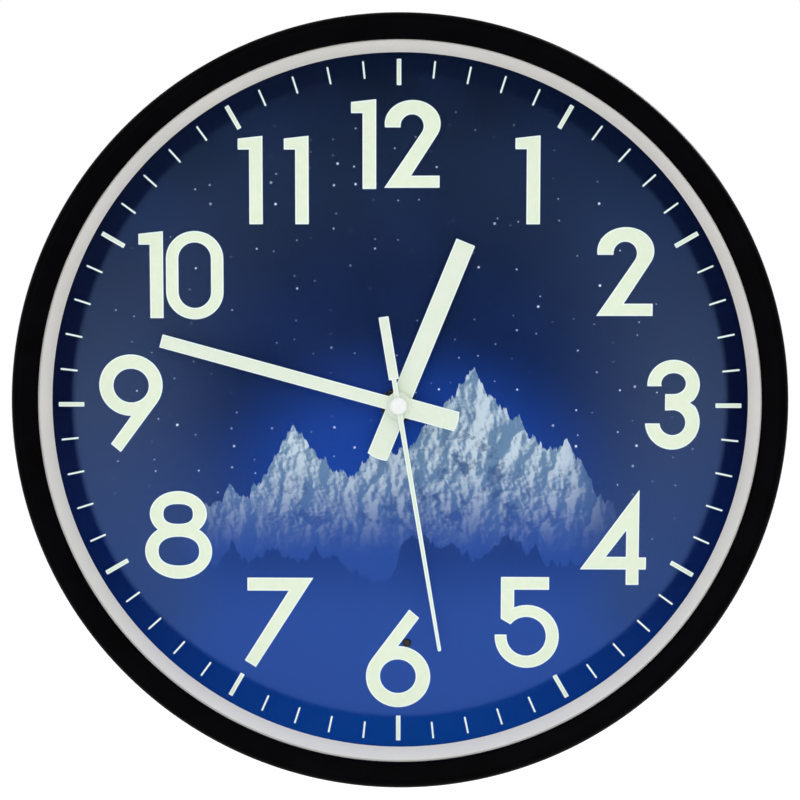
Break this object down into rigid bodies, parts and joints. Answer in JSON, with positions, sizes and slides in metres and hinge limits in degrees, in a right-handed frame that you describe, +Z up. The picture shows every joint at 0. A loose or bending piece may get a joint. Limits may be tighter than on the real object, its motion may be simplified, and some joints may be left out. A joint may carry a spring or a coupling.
{
  "type": "wall clock",
  "caption": "Round analogue quartz wall clock with a black frame, clear lens, printed dial, three hands, gear train, LED night light, light sensor and battery box with a hinged door.",
  "frame": {"origin": "on the hands' axis, in the wall plane at the frame's rear rim", "axes": "+X to the viewer's right, +Y into the wall, +Z up towards twelve"},
  "size_m": [0.3036, 0.042, 0.3036],
  "materials": {
    "frame_black": "smooth black moulding",
    "cover_black": "fine-textured black moulding",
    "lens_clear": "clear",
    "diffuser_grey": "light grey, matte",
    "dial_print": "printed, matte",
    "hand_paint": "painted, matte",
    "cap_white": "satin white",
    "steel": "bright",
    "brass": "bright",
    "copper_wire": "enamelled wire",
    "core_iron": "dull",
    "rubber": "matte",
    "board_green": "solder mask",
    "strip_white": "white",
    "sensor_olive": "clear dark dome",
    "wheel_plastic": "natural",
    "pinion_plastic": "satin",
    "cell_jacket": "printed sleeve",
    "lead_sleeve": "smooth",
    "magnet": "dull"
  },
  "bodies": {
    "case": {"frame": "frame_black", "movement_front_case": "frame_black", "movement_rear_case": "frame_black", "train_plate": "frame_black", "back_cover": "cover_black", "battery_box": "cover_black", "lens": "lens_clear", "diffuser_ring": "diffuser_grey", "dial": "dial_print", "cover_screw_1": "steel", "cover_screw_2": "steel", "cover_screw_3": "steel", "cover_screw_4": "steel", "cover_screw_5": "steel", "cover_screw_6": "steel", "led_contact_plus": "steel", "led_contact_link_upper": "steel", "led_contact_link_lower": "steel", "led_contact_minus": "steel", "switch_body": "steel", "clock_contact_plus": "steel", "clock_contact_minus": "steel", "quartz_crystal": "steel", "bush_washer": "brass", "bush_nut": "brass", "coil_winding": "copper_wire", "stator": "core_iron", "coil_core": "core_iron", "bush_gasket": "rubber", "control_board": "board_green", "movement_board": "board_green", "led_strip": "strip_white", "light_sensor": "sensor_olive", "coil_bobbin": "wheel_plastic", "led_cell_1": "cell_jacket", "led_cell_2": "cell_jacket", "led_cell_3": "cell_jacket", "clock_cell": "cell_jacket", "battery_lead": "lead_sleeve", "strip_lead": "lead_sleeve"},
    "minute_hand": {"minute_hand": "hand_paint", "centre_wheel": "wheel_plastic"},
    "hour_hand": {"hour_hand": "hand_paint", "hour_wheel": "wheel_plastic"},
    "second_hand": {"second_hand": "hand_paint", "second_hand_cap": "cap_white", "second_wheel": "wheel_plastic"},
    "minute_work": {"minute_work_wheel": "wheel_plastic"},
    "setting_knob": {"setting_knob": "frame_black"},
    "third_wheel": {"third_wheel": "wheel_plastic"},
    "fifth_wheel": {"fifth_wheel": "wheel_plastic"},
    "rotor": {"rotor_pinion": "pinion_plastic", "rotor_magnet": "magnet"},
    "switch_slider": {"switch_slider": "cover_black"},
    "battery_door": {"battery_door": "cover_black"}
  },
  "joints": [
    {"name": "minute_hand_turn", "type": "hinge", "parent": "case", "child": "minute_hand", "pos_m": [0, -0.018, 0], "axis": [0, 1, 0], "continuous": true},
    {"name": "hour_hand_turn", "type": "hinge", "parent": "case", "child": "hour_hand", "pos_m": [0, -0.018, 0], "axis": [0, 1, 0], "continuous": true},
    {"name": "second_hand_turn", "type": "hinge", "parent": "case", "child": "second_hand", "pos_m": [0, -0.018, 0], "axis": [0, 1, 0], "continuous": true},
    {"name": "minute_work_turn", "type": "hinge", "parent": "case", "child": "minute_work", "pos_m": [0, -0.018, 0.01], "axis": [0, 1, 0], "continuous": true},
    {"name": "setting_knob_turn", "type": "hinge", "parent": "case", "child": "setting_knob", "pos_m": [0, -0.018, 0.02], "axis": [0, 1, 0], "continuous": true},
    {"name": "third_wheel_turn", "type": "hinge", "parent": "case", "child": "third_wheel", "pos_m": [0.01057, -0.018, 0.00303], "axis": [0, 1, 0], "continuous": true},
    {"name": "fifth_wheel_turn", "type": "hinge", "parent": "case", "child": "fifth_wheel", "pos_m": [-0.00902, -0.018, 0.00328], "axis": [0, 1, 0], "continuous": true},
    {"name": "rotor_turn", "type": "hinge", "parent": "case", "child": "rotor", "pos_m": [-0.01322, -0.018, 0.01056], "axis": [0, 1, 0], "continuous": true},
    {"name": "led_switch_slide", "type": "slide", "parent": "case", "child": "switch_slider", "axis": [1, 0, 0], "range_m": [-0.002, 0.002]},
    {"name": "battery_door_swing", "type": "hinge", "parent": "case", "child": "battery_door", "pos_m": [0.08135, -0.0059, 0.02725], "axis": [1, 0, 0], "range_deg": [0, 75]}
  ],
  "couplings": [
    {"joint": "hour_hand_turn", "follows": "minute_hand_turn", "ratio": 0.083333},
    {"joint": "second_hand_turn", "follows": "minute_hand_turn", "ratio": 60},
    {"joint": "minute_work_turn", "follows": "minute_hand_turn", "ratio": -0.33333},
    {"joint": "setting_knob_turn", "follows": "minute_hand_turn", "ratio": 1},
    {"joint": "third_wheel_turn", "follows": "minute_hand_turn", "ratio": -8},
    {"joint": "fifth_wheel_turn", "follows": "minute_hand_turn", "ratio": -300},
    {"joint": "rotor_turn", "follows": "minute_hand_turn", "ratio": 1800}
  ]
}
